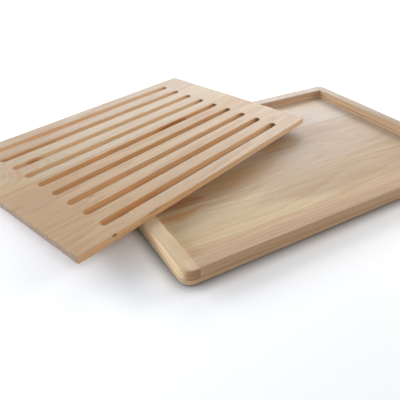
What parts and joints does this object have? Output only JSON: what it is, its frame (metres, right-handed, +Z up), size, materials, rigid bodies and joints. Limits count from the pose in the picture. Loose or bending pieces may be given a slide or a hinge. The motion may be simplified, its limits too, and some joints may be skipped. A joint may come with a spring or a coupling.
{
  "type": "bread board",
  "caption": "Wooden bread board: a slotted cutting grid that drops into a shallow crumb tray, shown lifted out and laid askew over the tray's back left corner.",
  "frame": {"origin": "middle of the flat underside of the crumb tray, on the surface that the tray stands on", "axes": "+X along the tray's length, +Y from the front rail to the back rail, +Z up out of the tray"},
  "size_m": [0.6486, 0.4732, 0.029],
  "materials": {
    "tray_wood_rosy": "bare beech, sanded, slightly pink heartwood",
    "tray_wood_golden": "bare beech, sanded, with yellowish sapwood",
    "tray_wood_pale": "bare beech, sanded, pale",
    "rail_wood_pale": "bare beech, sanded, pale, grain along the rail",
    "rail_wood_golden": "bare beech, sanded, grain along the rail",
    "rail_wood_rosy": "bare beech, sanded, slightly pink, grain along the rail",
    "grid_wood_golden": "bare beech, sanded",
    "grid_wood_rosy": "bare beech, sanded, slightly pink heartwood",
    "grid_wood_pale": "bare beech, sanded, pale"
  },
  "bodies": {
    "tray": {"base_stave_1": "tray_wood_rosy", "base_stave_2": "tray_wood_golden", "base_stave_3": "tray_wood_pale", "base_stave_4": "tray_wood_rosy", "base_stave_5": "tray_wood_pale", "base_stave_6": "tray_wood_golden", "left_rail": "rail_wood_pale", "right_rail": "rail_wood_golden", "front_rail": "rail_wood_rosy", "back_rail": "rail_wood_pale"},
    "grid": {"grid_stave_1": "grid_wood_golden", "grid_stave_2": "grid_wood_golden", "grid_stave_3": "grid_wood_rosy", "grid_stave_4": "grid_wood_pale", "grid_stave_5": "grid_wood_golden"}
  },
  "joints": [
    {"name": "grid_lift", "type": "slide", "parent": "tray", "child": "grid", "axis": [0, 0, 1], "range_m": [0, 0.1]}
  ]
}
